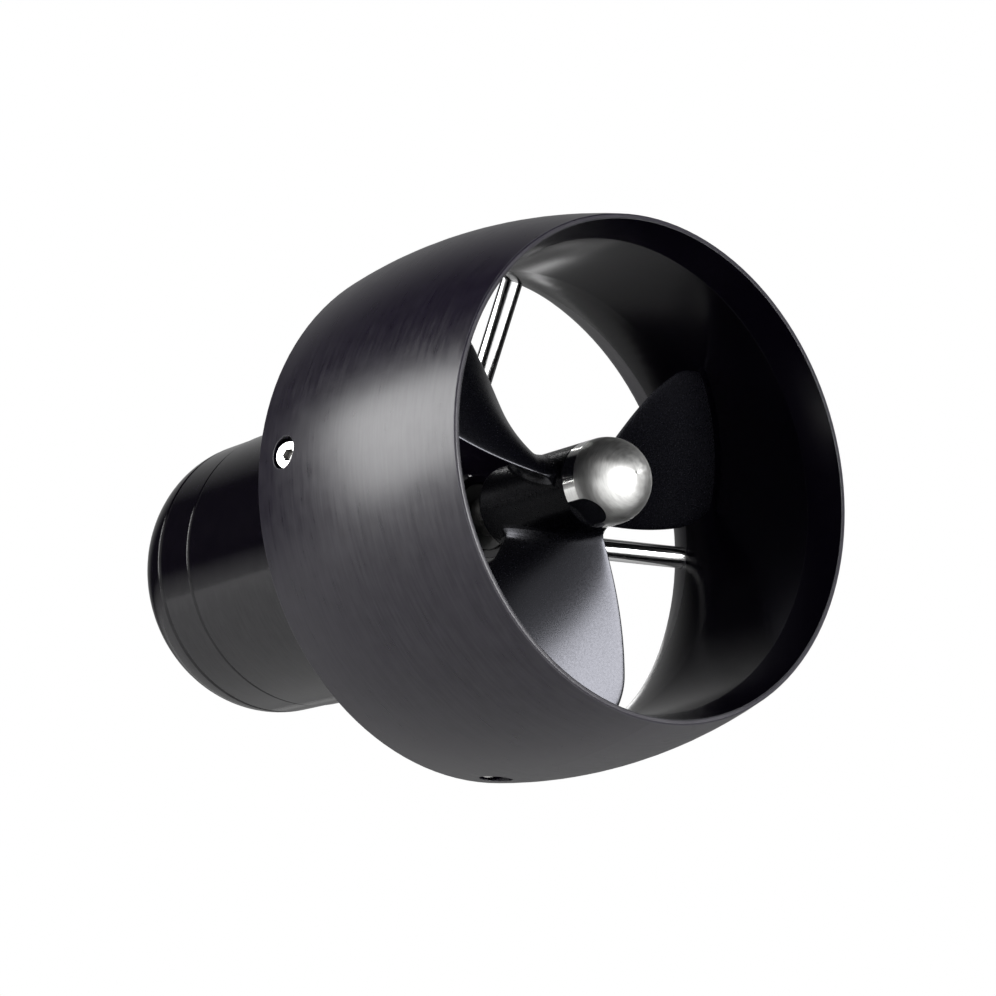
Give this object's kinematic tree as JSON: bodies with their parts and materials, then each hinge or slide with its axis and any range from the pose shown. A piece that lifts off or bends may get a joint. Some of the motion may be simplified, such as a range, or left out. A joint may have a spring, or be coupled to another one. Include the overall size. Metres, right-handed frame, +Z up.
{
  "type": "underwater thruster",
  "caption": "Ducted underwater thruster: a sealed electric motor that carries a turned nozzle on swept stay rods, round a wide-bladed propeller with a bullet nose.",
  "frame": {"origin": "on the thruster's axis, at the middle of the smooth motor housing that a clamp holds", "axes": "+X along the axis towards the nozzle's outlet, +Z up along one stay, +Y along the next stay"},
  "size_m": [0.2084, 0.1434, 0.1434],
  "materials": {
    "black_anodised": "satin, turned",
    "black_anodised_blasted": "satin, bead blasted",
    "stainless": "turned and brushed",
    "polished_stainless": "polished",
    "rubber": "matte",
    "lamination_steel": "oiled sheet edges",
    "copper": "enamelled wire",
    "magnet": "nickel plated",
    "bearing_steel": "ground",
    "cage_brass": "pressed"
  },
  "bodies": {
    "housing": {"nozzle": "black_anodised", "nozzle_screws": "stainless", "stay_rods": "polished_stainless", "front_cover": "black_anodised", "front_o_ring": "rubber", "shaft_seal": "rubber", "motor_housing": "black_anodised", "stator_core": "lamination_steel", "stator_coils": "copper", "rear_cover": "black_anodised", "rear_o_ring": "rubber", "preload_washer": "stainless", "tail_dome": "black_anodised", "tail_o_ring": "rubber", "tail_screws": "stainless", "gland_body": "stainless", "gland_seal": "rubber", "gland_nut": "stainless", "front_outer_race": "bearing_steel", "rear_outer_race": "bearing_steel"},
    "rotor": {"shaft": "stainless", "rotor_core": "lamination_steel", "rotor_magnets": "magnet", "front_inner_race": "bearing_steel", "rear_inner_race": "bearing_steel", "shaft_circlip": "bearing_steel", "propeller": "black_anodised_blasted", "drive_pin": "stainless", "nose_nut": "stainless"},
    "front_ball_set": {"front_balls": "bearing_steel", "front_cage": "cage_brass"},
    "rear_ball_set": {"rear_balls": "bearing_steel", "rear_cage": "cage_brass"}
  },
  "joints": [
    {"name": "shaft_spin", "type": "hinge", "parent": "housing", "child": "rotor", "pos_m": [0, 0, 0], "axis": [1, 0, 0], "continuous": true},
    {"name": "front_balls_spin", "type": "hinge", "parent": "housing", "child": "front_ball_set", "pos_m": [0.0385, 0, 0], "axis": [1, 0, 0], "continuous": true},
    {"name": "rear_balls_spin", "type": "hinge", "parent": "housing", "child": "rear_ball_set", "pos_m": [-0.0345, 0, 0], "axis": [1, 0, 0], "continuous": true}
  ],
  "couplings": [
    {"joint": "front_balls_spin", "follows": "shaft_spin", "ratio": 0.36667},
    {"joint": "rear_balls_spin", "follows": "shaft_spin", "ratio": 0.36667}
  ]
}
